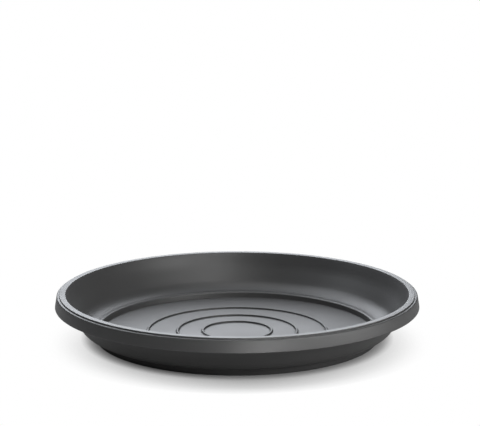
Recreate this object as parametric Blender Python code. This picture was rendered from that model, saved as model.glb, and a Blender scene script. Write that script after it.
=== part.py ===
"""Round plant saucer in moulded polypropylene, modelled in metres with +Z up.

The saucer stands on the plane Z = 0 and its axis is the Z axis, so the origin is the
middle of the circle it stands on. Every piece is a turned section.
"""

import math

import bpy
from mathutils import Vector

# Driving dimensions
RIM_RADIUS = 0.200
HEIGHT = 0.0506
WALL = 0.0026
SEAT_GAP = 0.0003

# Flat lip round the mouth, and the ledge one step below it
LIP_INNER_RADIUS = 0.1884
LIP_OUTER_RADIUS = 0.1949
LIP_INNER_ROUND = 0.0006
LIP_OUTER_ROUND = 0.0004
LEDGE_DROP = 0.0016

# Skirt band that hangs from the ledge
COLLAR_HEIGHT = 0.0130
COLLAR_WALL = 0.0022
COLLAR_DRAFT = 0.0002
COLLAR_TOP_ROUND = 0.0016
COLLAR_BOTTOM_ROUND = 0.0008

# Floor, and the step up from it to the narrow shelf at the bottom of the wall
FLOOR_RADIUS = 0.151
FLOOR_TOP = 0.0038
FLOOR_THICKNESS = 0.0024
FLOOR_EDGE_ROUND = 0.0020
STEP_HEIGHT = 0.0067
STEP_DRAFT = 0.0024
STEP_EDGE_ROUND = 0.0022
CREASE_RADIUS = 0.1582
CREASE_DROP = 0.0004

# Sloping wall: it leaves the shelf in a round corner and stands steeper above its bend
WALL_FOOT_RADIUS = 0.1675
WALL_FOOT_RISE = 0.0019
WALL_FOOT_ROUND = 0.021
WALL_FOOT_OUTER_ROUND = 0.018
WALL_BEND_RADIUS = 0.1818
WALL_BEND_HEIGHT = 0.036
WALL_BEND_ROUND = 0.080

# Ring that the saucer stands on
FOOT_OUTER_RADIUS = 0.1555
FOOT_WALL = 0.0026
FOOT_DRAFT = 0.0022
FOOT_ROUND = 0.0006

# Shallow dimple under the floor where the mould was filled
GATE_RADIUS = 0.0060
GATE_DEPTH = 0.0006

# Raised rings on the floor, by the radius of the middle of each
RIBS = {
    "floor_rib_inner": 0.038,
    "floor_rib_middle": 0.066,
    "floor_rib_outer": 0.099,
}
RIB_HEIGHT = 0.0018
RIB_WIDTH = 0.0022
RIB_DRAFT = 0.0003
RIB_ROUND = 0.0004

# Fineness of the turned pieces
TURN_STEPS = 72
FACET_SAG = 0.0001
SHARP_ANGLE = math.radians(32.0)

# Finish
ANTHRACITE = (0.043, 0.044, 0.047, 1.0)
SATIN_ROUGHNESS = 0.42


def clear_scene():
    for thing in list(bpy.data.objects):
        bpy.data.objects.remove(thing)


def satin_plastic(piece_name):
    material = bpy.data.materials.new(piece_name + "_polypropylene")
    material.use_nodes = True
    shader = material.node_tree.nodes["Principled BSDF"]
    shader.inputs["Base Color"].default_value = ANTHRACITE
    shader.inputs["Roughness"].default_value = SATIN_ROUGHNESS
    shader.inputs["Metallic"].default_value = 0.0
    return material


def rounded_corner(before, corner, after, radius):
    """Points of the arc that rounds a corner of an outline."""
    to_before = (before - corner).normalized()
    to_after = (after - corner).normalized()
    half_angle = to_before.angle(to_after) / 2
    middle = (to_before + to_after).normalized()
    centre = corner + middle * (radius / math.sin(half_angle))
    run = radius / math.tan(half_angle)
    first = corner + to_before * run - centre
    last = corner + to_after * run - centre
    turn = first.angle_signed(last)
    widest_facet = 2 * math.acos(1 - min(FACET_SAG / radius, 1.0))
    facets = max(2, math.ceil(abs(turn) / widest_facet))
    start = math.atan2(first.y, first.x)
    angles = [start - turn * i / facets for i in range(facets + 1)]
    return [centre + Vector((math.cos(a), math.sin(a))) * radius for a in angles]


def rounded_outline(corners, closed):
    """Outline through corners given as (radius from axis, height, corner round)."""
    spots = [Vector((r, z)) for r, z, corner_round in corners]
    outline = []
    for i, (r, z, corner_round) in enumerate(corners):
        at_end = not closed and i in (0, len(corners) - 1)
        if at_end or corner_round == 0:
            outline.append(spots[i])
            continue
        before = spots[i - 1]
        after = spots[(i + 1) % len(spots)]
        outline += rounded_corner(before, spots[i], after, corner_round)
    return outline


def turned(name, corners, closed=True):
    """Solid turned round the Z axis from a section that runs down its outer side."""
    outline = rounded_outline(corners, closed)
    points = [(spot.x, 0.0, spot.y) for spot in outline]
    edges = [(i, i + 1) for i in range(len(points) - 1)]
    if closed:
        edges.append((len(points) - 1, 0))
    mesh = bpy.data.meshes.new(name)
    mesh.from_pydata(points, edges, [])
    piece = bpy.data.objects.new(name, mesh)
    bpy.context.scene.collection.objects.link(piece)
    screw = piece.modifiers.new("Turn", "SCREW")
    screw.axis = "Z"
    screw.angle = math.tau
    screw.steps = TURN_STEPS
    screw.render_steps = TURN_STEPS
    screw.use_merge_vertices = True
    screw.merge_threshold = 0.00001
    with bpy.context.temp_override(object=piece, active_object=piece):
        bpy.ops.object.modifier_apply(modifier=screw.name)
    piece.data.shade_smooth()
    piece.data.set_sharp_from_angle(angle=SHARP_ANGLE)
    piece.data.materials.append(satin_plastic(name))
    return piece


def beside(start, end, distance):
    """A straight stretch of the section moved sideways, to the right of its run."""
    run = (end - start).normalized()
    aside = Vector((run.y, -run.x)) * distance
    return start + aside, end + aside


def crossing(first, second):
    """Where two straight stretches of the section meet when they are made longer."""
    start, end = first
    other_start, other_end = second
    run = end - start
    other_run = other_end - other_start
    share = (other_start - start).cross(other_run) / run.cross(other_run)
    return start + run * share


def level(height):
    return Vector((0.0, height)), Vector((1.0, height))


def dish():
    """The vessel: floor, step, shelf, sloping wall and lip, one wall thick throughout."""
    shelf_top = FLOOR_TOP + STEP_HEIGHT
    crease_height = shelf_top - CREASE_DROP
    floor_under = FLOOR_TOP - FLOOR_THICKNESS
    shelf_under = crease_height - WALL
    lip_under = HEIGHT - WALL

    floor_edge = Vector((FLOOR_RADIUS, FLOOR_TOP))
    step_edge = Vector((FLOOR_RADIUS + STEP_DRAFT, shelf_top))
    wall_foot = Vector((WALL_FOOT_RADIUS, crease_height + WALL_FOOT_RISE))
    wall_bend = Vector((WALL_BEND_RADIUS, WALL_BEND_HEIGHT))
    wall_top = Vector((LIP_INNER_RADIUS, HEIGHT))

    step_outside = beside(floor_edge, step_edge, FLOOR_THICKNESS)
    low_outside = beside(wall_foot, wall_bend, WALL)
    high_outside = beside(wall_bend, wall_top, WALL)

    under_lip = crossing(high_outside, level(lip_under))
    outer_bend = crossing(low_outside, high_outside)
    outer_foot = crossing(low_outside, level(shelf_under))
    step_root = crossing(step_outside, level(shelf_under))
    floor_corner = crossing(step_outside, level(floor_under))

    inside = [
        (0.0, FLOOR_TOP, 0.0),
        (*floor_edge, FLOOR_EDGE_ROUND),
        (*step_edge, STEP_EDGE_ROUND),
        (CREASE_RADIUS, crease_height, 0.0),
        (*wall_foot, WALL_FOOT_ROUND),
        (*wall_bend, WALL_BEND_ROUND),
        (*wall_top, LIP_INNER_ROUND),
    ]
    outside = [
        (LIP_OUTER_RADIUS, HEIGHT, LIP_OUTER_ROUND),
        (LIP_OUTER_RADIUS, lip_under, 0.0),
        (*under_lip, LIP_INNER_ROUND),
        (*outer_bend, WALL_BEND_ROUND + WALL),
        (*outer_foot, WALL_FOOT_OUTER_ROUND),
        (*step_root, 0.0),
        (*floor_corner, FLOOR_EDGE_ROUND),
        (GATE_RADIUS, floor_under, 0.0),
        (GATE_RADIUS - GATE_DEPTH, floor_under + GATE_DEPTH, 0.0),
        (0.0, floor_under + GATE_DEPTH, 0.0),
    ]
    return turned("dish", inside + outside, closed=False)


def rim_collar():
    """Ledge one step below the lip, and the skirt that hangs from its outer edge."""
    ledge_top = HEIGHT - LEDGE_DROP
    ledge_under = ledge_top - WALL
    bottom = ledge_top - COLLAR_HEIGHT
    inner = LIP_OUTER_RADIUS + SEAT_GAP
    skirt_inner = RIM_RADIUS - COLLAR_DRAFT - COLLAR_WALL
    return turned("rim_collar", [
        (inner, ledge_top, 0.0),
        (RIM_RADIUS, ledge_top, COLLAR_TOP_ROUND),
        (RIM_RADIUS - COLLAR_DRAFT, bottom, COLLAR_BOTTOM_ROUND),
        (skirt_inner, bottom, COLLAR_BOTTOM_ROUND),
        (skirt_inner, ledge_under, COLLAR_BOTTOM_ROUND),
        (inner, ledge_under, 0.0),
    ])


def foot_ring():
    """Ring under the shelf, round the sunk floor, that the saucer stands on."""
    top = FLOOR_TOP + STEP_HEIGHT - CREASE_DROP - WALL - SEAT_GAP
    inner_radius = FOOT_OUTER_RADIUS - FOOT_WALL
    return turned("foot_ring", [
        (inner_radius + FOOT_DRAFT, top, 0.0),
        (FOOT_OUTER_RADIUS + FOOT_DRAFT, top, 0.0),
        (FOOT_OUTER_RADIUS, 0.0, FOOT_ROUND),
        (inner_radius, 0.0, FOOT_ROUND),
    ])


def floor_rib(name, radius):
    """One raised ring on the floor, a little narrower at its top."""
    top = FLOOR_TOP + RIB_HEIGHT
    bottom = FLOOR_TOP + SEAT_GAP
    half_foot = RIB_WIDTH / 2
    half_top = half_foot - RIB_DRAFT
    return turned(name, [
        (radius - half_top, top, RIB_ROUND),
        (radius + half_top, top, RIB_ROUND),
        (radius + half_foot, bottom, 0.0),
        (radius - half_foot, bottom, 0.0),
    ])


def plant_saucer():
    pieces = [dish(), rim_collar(), foot_ring()]
    pieces += [floor_rib(name, radius) for name, radius in RIBS.items()]
    saucer = bpy.data.objects.new("plant_saucer", None)
    bpy.context.scene.collection.objects.link(saucer)
    for piece in pieces:
        piece.parent = saucer


clear_scene()
plant_saucer()
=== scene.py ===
import math

import bmesh
import bpy
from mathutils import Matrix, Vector


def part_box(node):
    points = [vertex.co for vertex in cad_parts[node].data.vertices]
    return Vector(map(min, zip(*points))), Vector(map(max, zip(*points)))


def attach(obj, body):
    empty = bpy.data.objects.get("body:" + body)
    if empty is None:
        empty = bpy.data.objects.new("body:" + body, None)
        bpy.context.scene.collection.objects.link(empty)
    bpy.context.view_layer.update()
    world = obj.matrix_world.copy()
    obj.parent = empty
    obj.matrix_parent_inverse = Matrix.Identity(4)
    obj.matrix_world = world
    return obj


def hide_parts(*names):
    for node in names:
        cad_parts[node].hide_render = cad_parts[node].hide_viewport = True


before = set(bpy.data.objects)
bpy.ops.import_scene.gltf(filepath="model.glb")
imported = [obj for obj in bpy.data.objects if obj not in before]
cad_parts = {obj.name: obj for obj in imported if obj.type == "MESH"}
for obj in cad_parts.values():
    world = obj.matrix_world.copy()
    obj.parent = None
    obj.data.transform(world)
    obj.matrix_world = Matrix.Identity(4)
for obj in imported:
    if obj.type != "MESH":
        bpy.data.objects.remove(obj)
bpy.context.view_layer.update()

bl_info = {
    "name": "Moulded plant saucer",
    "version": (1, 0, 0),
    "blender": (4, 5, 0),
    "location": "View3D > Sidebar > Saucer",
    "description": "Models and finishes the pieces of a round moulded plant saucer on its stage",
    "category": "Add Mesh",
}

BODY = "root"
MM = 0.001

# Sizes read from the frame
DISH_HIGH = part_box("dish")[1]
COLLAR_LOW, COLLAR_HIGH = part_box("rim_collar")
FOOT_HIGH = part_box("foot_ring")[1]
RIB_NODES = ("floor_rib_inner", "floor_rib_middle", "floor_rib_outer")

# Floor of the dish, the step round it, and the crease in the shelf beyond
FLOOR_THICKNESS = 2.4 * MM
FLOOR_CORNER_ROUND = 0.6 * MM
FLOOR_UNDER_ROUND = 2.0 * MM
STEP_DRAFT = 1.0 * MM
STEP_EDGE_ROUND = 2.2 * MM
CREASE_RADIUS = 158.2 * MM
CREASE_DROP = 0.4 * MM

# Shallow dimple under the floor where the mould was filled
GATE_RADIUS = 6.0 * MM
GATE_DEPTH = 0.6 * MM

# Sloping wall of the dish, which stands steeper above its bend, and the lip
WALL_FOOT_RADIUS = 167.5 * MM
WALL_FOOT_RISE = 1.9 * MM
WALL_FOOT_ROUND = 21.0 * MM
WALL_FOOT_OUTER_ROUND = 18.0 * MM
WALL_BEND_RADIUS = 181.8 * MM
WALL_BEND_HEIGHT = 36.0 * MM
WALL_BEND_ROUND = 80.0 * MM
LIP_INNER_ROUND = 0.6 * MM
LIP_OUTER_ROUND = 0.4 * MM
UNDER_LIP_ROUND = 1.2 * MM

# Fineness of the turned skins
SPIN_STEPS = 288
ROUND_SEGMENTS = 8
LONGEST_RUN = 5 * MM
MERGE_DISTANCE = 0.002 * MM
SHARP_ANGLE = math.radians(30)

# Stage, with the table's size in metres and the camera's tilt in degrees below level
WHITE = (1, 1, 1, 1)
TABLE_SIZE = 12
OPENING_SAMPLES = 16
LAMP_AIM = (0, 0, 60 * MM)
CAMERA_PLACE = (3.1 * MM, -1712 * MM, 478.5 * MM)
CAMERA_TILT = 11.28
CAMERA_LENS = 120.0
CAMERA_SENSOR = 36.0


def linear(hex_colour):
    """An sRGB hex colour as the linear RGBA that shaders take."""
    values = [int(hex_colour[i:i + 2], 16) / 255 for i in (0, 2, 4)]
    return [v / 12.92 if v <= 0.04045 else ((v + 0.055) / 1.055) ** 2.4 for v in values] + [1.0]


class SaucerSizes(bpy.types.PropertyGroup):
    """Sizes of the saucer's moulded section"""
    height: bpy.props.FloatProperty(
        name="Height", description="Ground to the top of the lip",
        default=DISH_HIGH.z, unit="LENGTH")
    rim_radius: bpy.props.FloatProperty(
        name="Rim radius", description="Axis to the outside of the collar",
        default=COLLAR_HIGH.x, unit="LENGTH")
    lip_radius: bpy.props.FloatProperty(
        name="Lip outer radius", description="Axis to the outer edge of the flat lip",
        default=DISH_HIGH.x, unit="LENGTH")
    lip_width: bpy.props.FloatProperty(
        name="Lip width", description="Width of the flat lip round the mouth",
        default=6.5 * MM, unit="LENGTH")
    wall: bpy.props.FloatProperty(
        name="Wall", description="Thickness of the moulded wall",
        default=2.6 * MM, unit="LENGTH")
    ledge_top: bpy.props.FloatProperty(
        name="Ledge height", description="Ground to the ledge below the lip",
        default=COLLAR_HIGH.z, unit="LENGTH")
    collar_bottom: bpy.props.FloatProperty(
        name="Collar bottom", description="Ground to the lower edge of the skirt band",
        default=COLLAR_LOW.z, unit="LENGTH")
    floor_radius: bpy.props.FloatProperty(
        name="Floor radius", description="Axis to the foot of the step round the floor",
        default=151.0 * MM, unit="LENGTH")
    floor_top: bpy.props.FloatProperty(
        name="Floor height", description="Ground to the top of the floor",
        default=3.8 * MM, unit="LENGTH")
    step_height: bpy.props.FloatProperty(
        name="Step height", description="Rise from the floor to the shelf",
        default=6.7 * MM, unit="LENGTH")
    foot_radius: bpy.props.FloatProperty(
        name="Foot radius", description="Axis to the outside of the standing ring",
        default=155.5 * MM, unit="LENGTH")
    rib_width: bpy.props.FloatProperty(
        name="Rib width", description="Width of a floor rib where it stands",
        default=2.2 * MM, unit="LENGTH")
    rib_height: bpy.props.FloatProperty(
        name="Rib height", description="Rise of a floor rib above the floor",
        default=1.8 * MM, unit="LENGTH")


class SaucerFinish(bpy.types.PropertyGroup):
    """Colours of the plastic and of the stage"""
    plastic: bpy.props.FloatVectorProperty(
        name="Plastic", description="Anthracite of the moulded plastic",
        default=linear("343434"), size=4, min=0, max=1, subtype="COLOR")
    plastic_pale: bpy.props.FloatVectorProperty(
        name="Paler plastic", description="Where the melt flowed last and dulled",
        default=linear("3A3A3A"), size=4, min=0, max=1, subtype="COLOR")
    back_light: bpy.props.FloatVectorProperty(
        name="Back light", description="Cool daylight of the boxes behind the saucer",
        default=linear("F5F9FF"), size=4, min=0, max=1, subtype="COLOR")
    table: bpy.props.FloatVectorProperty(
        name="Table", description="Frosted acrylic of the product table, away from its glow",
        default=linear("969696"), size=4, min=0, max=1, subtype="COLOR")


def add_node(tree, kind, settings=None, **inputs):
    """One node with its settings. An input is a value or the output socket that feeds it, and
    goes by its name, or by its place when it is called _0, _1 and so on."""
    node = tree.nodes.new(kind)
    for name, value in (settings or {}).items():
        setattr(node, name, value)
    for name, value in inputs.items():
        key = int(name[1:]) if name[0] == "_" else name.replace("_", " ")
        socket = node.inputs[key]
        if isinstance(value, bpy.types.NodeSocket):
            tree.links.new(value, socket)
        else:
            socket.default_value = value
    return node


def new_material(name):
    """A material without nodes, and its node tree."""
    material = bpy.data.materials.new(name)
    material.use_nodes = True
    material.node_tree.nodes.clear()
    return material, material.node_tree


def satin_roughness(tree, clouds, height):
    """Roughness that follows the clouds, with the floor duller than the wall and the lip."""
    cloud_low, cloud_high = 0.3, 0.7
    glossiest, dullest = 0.42, 0.48
    floor_etch = 0.07
    etch_end, polish_start = 6 * MM, 9 * MM
    cloudy = add_node(
        tree, "ShaderNodeMapRange", Value=clouds,
        From_Min=cloud_low, From_Max=cloud_high, To_Min=glossiest, To_Max=dullest)
    etched = add_node(
        tree, "ShaderNodeMapRange", Value=height,
        From_Min=etch_end, From_Max=polish_start, To_Min=floor_etch, To_Max=0.0)
    gloss = add_node(
        tree, "ShaderNodeMath", {"operation": "ADD"},
        _0=cloudy.outputs["Result"], _1=etched.outputs["Result"])
    return gloss.outputs[0]


def moulded_polypropylene():
    """Injection moulded polypropylene from a fine spark-eroded mould.

    The eye sees an even anthracite satin: soft wide reflections at a low angle, hardly any
    straight on, with a very fine grain and slow clouds where the melt cooled unevenly.
    """
    name = "moulded_polypropylene_anthracite"
    if name in bpy.data.materials:
        return bpy.data.materials[name]
    finish = bpy.context.scene.saucer_finish
    grain_size = 1.1 * MM  # the real grain is about 0.1 mm, drawn coarser so that it shows
    grain_depth = 0.03 * MM
    grain_strength = 0.06
    cloud_size = 70 * MM
    sheen_ior = 1.62  # polypropylene has about 1.49, raised to match the saucer's sheen
    material, tree = new_material(name)
    place = add_node(tree, "ShaderNodeTexCoord").outputs["Object"]
    height = add_node(tree, "ShaderNodeSeparateXYZ", Vector=place).outputs["Z"]
    clouds = add_node(tree, "ShaderNodeTexNoise", Vector=place, Scale=1 / cloud_size, Detail=3.0)
    grain = add_node(tree, "ShaderNodeTexNoise", Vector=place, Scale=1 / grain_size, Detail=2.0)
    colour = add_node(
        tree, "ShaderNodeMix", {"data_type": "RGBA"},
        _0=clouds.outputs["Fac"], _6=finish.plastic, _7=finish.plastic_pale)
    bump = add_node(
        tree, "ShaderNodeBump", Strength=grain_strength, Distance=grain_depth,
        Height=grain.outputs["Fac"])
    shader = add_node(
        tree, "ShaderNodeBsdfPrincipled", Base_Color=colour.outputs[2], IOR=sheen_ior,
        Roughness=satin_roughness(tree, clouds.outputs["Fac"], height),
        Normal=bump.outputs["Normal"])
    add_node(tree, "ShaderNodeOutputMaterial", Surface=shader.outputs["BSDF"])
    return material


def seen_share(tree, mirrored_share):
    """1 for a ray from the eye, a smaller share for one that is mirrored or let through, and 0
    for one that lights."""
    rays = add_node(tree, "ShaderNodeLightPath").outputs
    mirrored = add_node(
        tree, "ShaderNodeMath", {"operation": "MAXIMUM"},
        _0=rays["Is Glossy Ray"], _1=rays["Is Transmission Ray"])
    seen = add_node(
        tree, "ShaderNodeMath", {"operation": "MULTIPLY_ADD", "use_clamp": True},
        _0=mirrored.outputs[0], _1=mirrored_share, _2=rays["Is Camera Ray"])
    return seen.outputs[0]


def around(azimuth, elevation, distance):
    """A place round the saucer: azimuth from straight behind it to the right, in degrees."""
    turn = math.radians(azimuth)
    rise = math.radians(elevation)
    level_distance = distance * math.cos(rise)
    return Vector((
        level_distance * math.sin(turn),
        level_distance * math.cos(turn),
        distance * math.sin(rise)))


def opening_for_painted_shadow(tree, reach, azimuth, elevation):
    """How open the table lies towards one side, looking no further than a reach, for the shadow
    that is painted into the table's glow.
    """
    way = around(azimuth, elevation, 1)
    lean = add_node(tree, "ShaderNodeCombineXYZ", X=way.x, Y=way.y, Z=way.z)
    opening = add_node(
        tree, "ShaderNodeAmbientOcclusion", {"samples": OPENING_SAMPLES},
        Distance=reach, Normal=lean.outputs[0])
    return opening.outputs["AO"]


def glow_left_by_painted_shadow(tree):
    """How much of the table's glow is left under a painted shadow, darkened by occlusion and not
    by the lamps: little close under the wall, and less in front, where the table lies open neither
    to the back left nor to the back right."""
    contact_reach = 12 * MM
    shadow_reach = 46 * MM
    shadow_rise = 14
    back_left, back_right = -50, 40
    darkest_open = 0.26
    # painted contact shade: the glow is darkened where the wall stands close above the table
    contact = add_node(
        tree, "ShaderNodeAmbientOcclusion", {"samples": OPENING_SAMPLES}, Distance=contact_reach)
    opener_side = add_node(
        tree, "ShaderNodeMath", {"operation": "MAXIMUM"},
        _0=opening_for_painted_shadow(tree, shadow_reach, back_left, shadow_rise),
        _1=opening_for_painted_shadow(tree, shadow_reach, back_right, shadow_rise))
    deepened = add_node(
        tree, "ShaderNodeMapRange", Value=opener_side.outputs[0],
        From_Min=darkest_open, From_Max=1.0)
    clear = add_node(
        tree, "ShaderNodeMath", {"operation": "MULTIPLY"},
        _0=contact.outputs["AO"], _1=deepened.outputs["Result"])
    return clear.outputs[0]


def lit_table():
    """Frosted acrylic lit from below, as on a product table.

    The eye sees an even white with a soft painted shadow under and in front of the saucer, where
    the glow is darkened by occlusion and not by the lamps, and the satin plastic mirrors a part of
    it.
    """
    mirrored_share = 0.25
    material, tree = new_material("frosted_acrylic_table")
    matt = add_node(tree, "ShaderNodeBsdfDiffuse", Color=bpy.context.scene.saucer_finish.table)
    glow = add_node(tree, "ShaderNodeEmission", Color=WHITE, Strength=1.0)
    # painted shadow: the glow is cut where the saucer closes the table in
    share = add_node(
        tree, "ShaderNodeMath", {"operation": "MULTIPLY"},
        _0=glow_left_by_painted_shadow(tree), _1=seen_share(tree, mirrored_share))
    sheet = add_node(
        tree, "ShaderNodeMixShader",
        _0=share.outputs[0], _1=matt.outputs[0], _2=glow.outputs[0])
    add_node(tree, "ShaderNodeOutputMaterial", Surface=sheet.outputs[0])
    return material


def corner_run(before, corner, after, radius):
    """How far from a corner its round begins."""
    half_angle = (before - corner).angle(after - corner) / 2
    return radius / math.tan(half_angle)


def pick_vertex(spot):
    """Selects the one vertex of the section that stands at a spot."""
    mesh = bpy.context.edit_object.data
    shape = bmesh.from_edit_mesh(mesh)
    nearest = min(shape.verts, key=lambda vertex: (vertex.co - spot).length)
    nearest.select_set(True)
    shape.select_flush_mode()
    bmesh.update_edit_mesh(mesh)


def draw_section(corners, closed):
    """Draws a wire section by extruding one vertex from corner to corner, then rounds it."""
    bpy.ops.object.select_all(action="DESELECT")
    bpy.ops.mesh.primitive_plane_add(size=MM, location=(0, 0, 0))
    bpy.ops.object.mode_set(mode="EDIT")
    bpy.context.tool_settings.mesh_select_mode = (True, False, False)
    bpy.ops.mesh.select_all(action="SELECT")
    bpy.ops.mesh.merge(type="CENTER")
    spots = [Vector((r, 0, z)) for r, z, corner_round in corners]
    bpy.ops.transform.translate(value=spots[0])
    for spot, last in zip(spots[1:], spots):
        bpy.ops.mesh.extrude_vertices_move(TRANSFORM_OT_translate={"value": spot - last})
    if closed:
        pick_vertex(spots[0])
        bpy.ops.mesh.edge_face_add()
    for i, (r, z, corner_round) in enumerate(corners):
        if corner_round == 0:
            continue
        bpy.ops.mesh.select_all(action="DESELECT")
        pick_vertex(spots[i])
        run = corner_run(spots[i - 1], spots[i], spots[(i + 1) % len(spots)], corner_round)
        bpy.ops.mesh.bevel(
            offset_type="OFFSET", offset=run, segments=ROUND_SEGMENTS, profile=0.5,
            affect="VERTICES")


def part_long_runs():
    """Parts each long straight stretch of the section, so that rounds beside it shade cleanly."""
    mesh = bpy.context.edit_object.data
    bpy.context.tool_settings.mesh_select_mode = (False, True, False)
    lengths = sorted(edge.calc_length() for edge in bmesh.from_edit_mesh(mesh).edges)
    for length in reversed(lengths):
        if length < LONGEST_RUN:
            break
        bpy.ops.mesh.select_all(action="DESELECT")
        shape = bmesh.from_edit_mesh(mesh)
        longest = max(shape.edges, key=lambda edge: edge.calc_length())
        longest.select_set(True)
        bmesh.update_edit_mesh(mesh)
        bpy.ops.mesh.subdivide(number_cuts=int(length / LONGEST_RUN))


def turn_section(name):
    """Spins the drawn section round the axis into a closed skin and finishes it."""
    bpy.ops.mesh.select_all(action="SELECT")
    bpy.ops.mesh.spin(
        steps=SPIN_STEPS, dupli=False, angle=math.tau, use_auto_merge=True,
        center=(0, 0, 0), axis=(0, 0, 1))
    bpy.ops.mesh.select_all(action="SELECT")
    bpy.ops.mesh.remove_doubles(threshold=MERGE_DISTANCE)
    bpy.ops.mesh.normals_make_consistent(inside=False)
    bpy.ops.object.mode_set(mode="OBJECT")
    bpy.ops.object.shade_smooth_by_angle(angle=SHARP_ANGLE)
    piece = bpy.context.object
    piece.name = name
    piece.data.name = name
    piece.data.materials.append(moulded_polypropylene())
    return piece


def turned_piece(name, corners, node, closed=True):
    """A moulded piece turned from its section, in the place of a node of the frame.

    A corner is its radius from the axis, its height and its round.
    """
    draw_section(corners, closed)
    part_long_runs()
    piece = turn_section(name)
    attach(piece, BODY)
    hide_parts(node)


def beside(start, end, distance):
    """A straight stretch of the section moved sideways, to the right of its run."""
    run = (end - start).normalized()
    aside = Vector((run.y, -run.x)) * distance
    return start + aside, end + aside


def crossing(first, second):
    """Where two straight stretches of the section meet when they are made longer."""
    start, end = first
    other_start, other_end = second
    run = end - start
    other_run = other_end - other_start
    share = (other_start - start).cross(other_run) / run.cross(other_run)
    return start + run * share


def level(height):
    """A level stretch of the section."""
    return Vector((0, height)), Vector((1, height))


def dish_section(size):
    """Corners of the dish, from the middle of the floor up over the lip and back underneath."""
    shelf_top = size.floor_top + size.step_height
    crease_height = shelf_top - CREASE_DROP
    floor_under = size.floor_top - FLOOR_THICKNESS
    shelf_under = crease_height - size.wall
    lip_under = size.height - size.wall

    floor_edge = Vector((size.floor_radius, size.floor_top))
    step_edge = Vector((size.floor_radius + STEP_DRAFT, shelf_top))
    wall_foot = Vector((WALL_FOOT_RADIUS, crease_height + WALL_FOOT_RISE))
    wall_bend = Vector((WALL_BEND_RADIUS, WALL_BEND_HEIGHT))
    wall_top = Vector((size.lip_radius - size.lip_width, size.height))
    step_outside = beside(floor_edge, step_edge, FLOOR_THICKNESS)
    low_outside = beside(wall_foot, wall_bend, size.wall)
    high_outside = beside(wall_bend, wall_top, size.wall)
    inside = [
        (0, size.floor_top, 0),
        (*floor_edge, FLOOR_CORNER_ROUND),
        (*step_edge, STEP_EDGE_ROUND),
        (CREASE_RADIUS, crease_height, 0),
        (*wall_foot, WALL_FOOT_ROUND),
        (*wall_bend, WALL_BEND_ROUND),
        (*wall_top, LIP_INNER_ROUND),
    ]
    outside = [
        (size.lip_radius, size.height, LIP_OUTER_ROUND),
        (size.lip_radius, lip_under, 0),
        (*crossing(high_outside, level(lip_under)), UNDER_LIP_ROUND),
        (*crossing(low_outside, high_outside), WALL_BEND_ROUND + size.wall),
        (*crossing(low_outside, level(shelf_under)), WALL_FOOT_OUTER_ROUND),
        (*crossing(step_outside, level(shelf_under)), 0),
        (*crossing(step_outside, level(floor_under)), FLOOR_UNDER_ROUND),
        (GATE_RADIUS, floor_under, 0),
        (GATE_RADIUS - GATE_DEPTH, floor_under + GATE_DEPTH, 0),
        (0, floor_under + GATE_DEPTH, 0),
    ]
    return inside + outside


class SAUCER_OT_dish(bpy.types.Operator):
    """Model the dish: floor, step, shelf, sloping wall and lip"""
    bl_idname = "saucer.dish"
    bl_label = "Dish"

    def execute(self, context):
        corners = dish_section(context.scene.saucer_sizes)
        turned_piece("moulded_dish", corners, "dish", closed=False)
        return {"FINISHED"}


class SAUCER_OT_rim_collar(bpy.types.Operator):
    """Model the ledge below the lip and the skirt band that hangs from it"""
    bl_idname = "saucer.rim_collar"
    bl_label = "Rim collar"

    def execute(self, context):
        size = context.scene.saucer_sizes
        flare = 2.2 * MM  # the skirt leans outwards to its lower edge, so that it leaves the mould
        skirt_wall = 2.2 * MM
        ledge_round = 1.4 * MM
        hem_round = 0.7 * MM
        inner_round = 0.8 * MM
        bite = 0.6 * MM  # runs into the lip, as the plastic does
        inner = size.lip_radius - bite
        under = size.ledge_top - size.wall
        ledge_radius = size.rim_radius - flare
        turned_piece("moulded_rim_collar", [
            (inner, size.ledge_top, 0),
            (ledge_radius, size.ledge_top, ledge_round),
            (size.rim_radius, size.collar_bottom, hem_round),
            (size.rim_radius - skirt_wall, size.collar_bottom, hem_round),
            (ledge_radius - skirt_wall, under, inner_round),
            (inner, under, 0),
        ], "rim_collar")
        return {"FINISHED"}


class SAUCER_OT_foot_ring(bpy.types.Operator):
    """Model the ring that the saucer stands on"""
    bl_idname = "saucer.foot_ring"
    bl_label = "Foot ring"

    def execute(self, context):
        size = context.scene.saucer_sizes
        draft = 2.2 * MM
        ring_wall = 2.6 * MM
        standing_round = 0.6 * MM
        bite = 0.6 * MM  # runs into the shelf above it
        top = FOOT_HIGH.z + bite
        inner = size.foot_radius - ring_wall
        turned_piece("moulded_foot_ring", [
            (inner + draft, top, 0),
            (size.foot_radius + draft, top, 0),
            (size.foot_radius, 0, standing_round),
            (inner, 0, standing_round),
        ], "foot_ring")
        return {"FINISHED"}


class SAUCER_OT_floor_ribs(bpy.types.Operator):
    """Model the raised rings on the floor"""
    bl_idname = "saucer.floor_ribs"
    bl_label = "Floor ribs"

    def execute(self, context):
        size = context.scene.saucer_sizes
        draft = 0.3 * MM
        sink = 0.2 * MM  # runs into the floor below it
        top_round = 0.4 * MM
        root_round = 0.5 * MM
        top = size.floor_top + size.rib_height
        bottom = size.floor_top - sink
        half_foot = size.rib_width / 2
        half_top = half_foot - draft
        half_root = half_foot + 2 * root_round
        for node in RIB_NODES:
            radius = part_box(node)[1].x - half_foot
            turned_piece("moulded_" + node, [
                (radius - half_top, top, top_round),
                (radius + half_top, top, top_round),
                (radius + half_foot, size.floor_top, root_round),
                (radius + half_root, size.floor_top, 0),
                (radius + half_root, bottom, 0),
                (radius - half_root, bottom, 0),
                (radius - half_root, size.floor_top, 0),
                (radius - half_foot, size.floor_top, root_round),
            ], node)
        return {"FINISHED"}


class SAUCER_OT_stage(bpy.types.Operator):
    """Add the lit table, the soft studio light and the camera"""
    bl_idname = "saucer.stage"
    bl_label = "Stage"

    def execute(self, context):
        add_table()
        add_lamps()
        add_world()
        add_camera()
        context.scene.view_settings.view_transform = "Standard"
        return {"FINISHED"}


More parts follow.
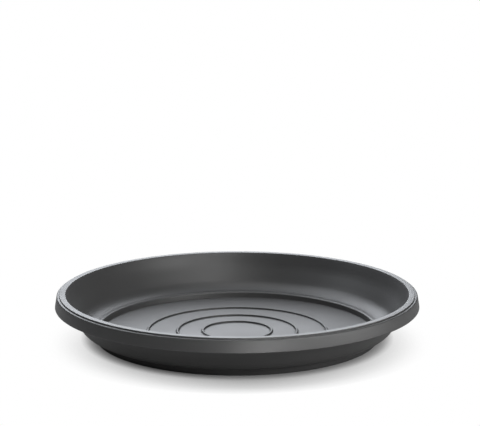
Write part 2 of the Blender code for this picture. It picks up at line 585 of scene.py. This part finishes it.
def add_table():
    """A large sheet of acrylic under the saucer."""
    bpy.ops.object.select_all(action="DESELECT")
    bpy.ops.mesh.primitive_plane_add(size=TABLE_SIZE, location=(0, 0, 0))
    sheet = bpy.context.object
    sheet.name = "acrylic_table"
    sheet.data.materials.append(lit_table())


def add_lamp(name, place, width, height, watts):
    """A soft rectangular lamp at a place, turned to the saucer."""
    lamp = bpy.data.lights.new(name, "AREA")
    lamp.shape = "RECTANGLE"
    lamp.size = width
    lamp.size_y = height
    lamp.energy = watts
    holder = bpy.data.objects.new(name, lamp)
    bpy.context.scene.collection.objects.link(holder)
    holder.location = place
    holder.rotation_euler = (Vector(LAMP_AIM) - place).to_track_quat("-Z", "Y").to_euler()
    return lamp


# Soft boxes: azimuth, elevation and spread in degrees, distance, width and height in m, watts
SOFT_BOXES = {
    "back_box": (-7, 32, 180, 2.0, 1.5, 1.3, 30),
    "back_top_box": (-14, 62, 180, 2.0, 1.5, 0.8, 5),
    "top_box": (170, 86, 180, 2.0, 1.0, 0.9, 5.5),
    "front_right_box": (157, 46, 180, 2.0, 1.0, 1.0, 10),
    "low_right_box": (132, 24, 180, 2.0, 0.8, 0.25, 12.5),
    "right_strip": (108, 6, 180, 2.0, 1.6, 0.4, 9),
    "left_top_box": (-62, 48, 180, 2.0, 1.2, 1.0, 11.5),
    "front_strip": (164, 1.2, 9, 1.0, 0.45, 0.03, 0.04),
}


def add_lamps():
    """A bright soft box behind the saucer, weaker ones above it, at its left and at its right,
    and in front a low strip with a narrow beam that grazes the collar."""
    for name, box in SOFT_BOXES.items():
        azimuth, elevation, spread, distance, width, height, watts = box
        lamp = add_lamp(name, around(azimuth, elevation, distance), width, height, watts)
        lamp.spread = math.radians(spread)
        stands_behind = abs(azimuth) < 90
        if stands_behind:
            lamp.color = bpy.context.scene.saucer_finish.back_light[:3]


def add_world():
    """White for the eye, and for the light a dim room, paler mostly at the right."""
    paler_way = (0.30, 0.05, 0.08)
    dark_end, pale_end = -0.05, 0.3
    dark_room, pale_room = 0.014, 0.15
    mirrored_share = 0.07
    world = bpy.data.worlds.new("studio_room")
    bpy.context.scene.world = world
    world.use_nodes = True
    tree = world.node_tree
    tree.nodes.clear()
    direction = add_node(tree, "ShaderNodeTexCoord").outputs["Generated"]
    along = add_node(
        tree, "ShaderNodeVectorMath", {"operation": "DOT_PRODUCT"}, _0=direction, _1=paler_way)
    room = add_node(
        tree, "ShaderNodeMapRange", Value=along.outputs["Value"],
        From_Min=dark_end, From_Max=pale_end, To_Min=dark_room, To_Max=pale_room)
    strength = add_node(
        tree, "ShaderNodeMix", {"data_type": "FLOAT"},
        _0=seen_share(tree, mirrored_share), _2=room.outputs["Result"], _3=1.0)
    glow = add_node(
        tree, "ShaderNodeBackground", Color=WHITE, Strength=strength.outputs[0])
    add_node(tree, "ShaderNodeOutputWorld", Surface=glow.outputs["Background"])


def add_camera():
    """A long lens above the rim, in front of the saucer, as in the photograph."""
    lens = bpy.data.cameras.new("camera")
    lens.sensor_width = CAMERA_SENSOR
    lens.lens = CAMERA_LENS
    holder = bpy.data.objects.new("camera", lens)
    bpy.context.scene.collection.objects.link(holder)
    holder.location = CAMERA_PLACE
    holder.rotation_euler = (math.radians(90 - CAMERA_TILT), 0, 0)
    bpy.context.scene.camera = holder


class SAUCER_PT_panel(bpy.types.Panel):
    """Lists the saucer's sizes, colours and pieces"""
    bl_idname = "SAUCER_PT_panel"
    bl_label = "Plant saucer"
    bl_space_type = "VIEW_3D"
    bl_region_type = "UI"
    bl_category = "Saucer"

    def draw(self, context):
        for group in (context.scene.saucer_sizes, context.scene.saucer_finish):
            for name in group.bl_rna.properties.keys():
                if name not in ("rna_type", "name"):
                    self.layout.prop(group, name)
        for operator in OPERATORS:
            self.layout.operator(operator.bl_idname)


OPERATORS = (
    SAUCER_OT_dish, SAUCER_OT_rim_collar, SAUCER_OT_foot_ring,
    SAUCER_OT_floor_ribs, SAUCER_OT_stage,
)
CLASSES = (SaucerSizes, SaucerFinish, *OPERATORS, SAUCER_PT_panel)


def register():
    for item in CLASSES:
        bpy.utils.register_class(item)
    bpy.types.Scene.saucer_sizes = bpy.props.PointerProperty(type=SaucerSizes)
    bpy.types.Scene.saucer_finish = bpy.props.PointerProperty(type=SaucerFinish)


def unregister():
    del bpy.types.Scene.saucer_finish
    del bpy.types.Scene.saucer_sizes
    for item in reversed(CLASSES):
        bpy.utils.unregister_class(item)


def main():
    register()
    bpy.ops.saucer.dish()
    bpy.ops.saucer.rim_collar()
    bpy.ops.saucer.foot_ring()
    bpy.ops.saucer.floor_ribs()
    bpy.ops.saucer.stage()


if __name__ == "__main__":
    main()
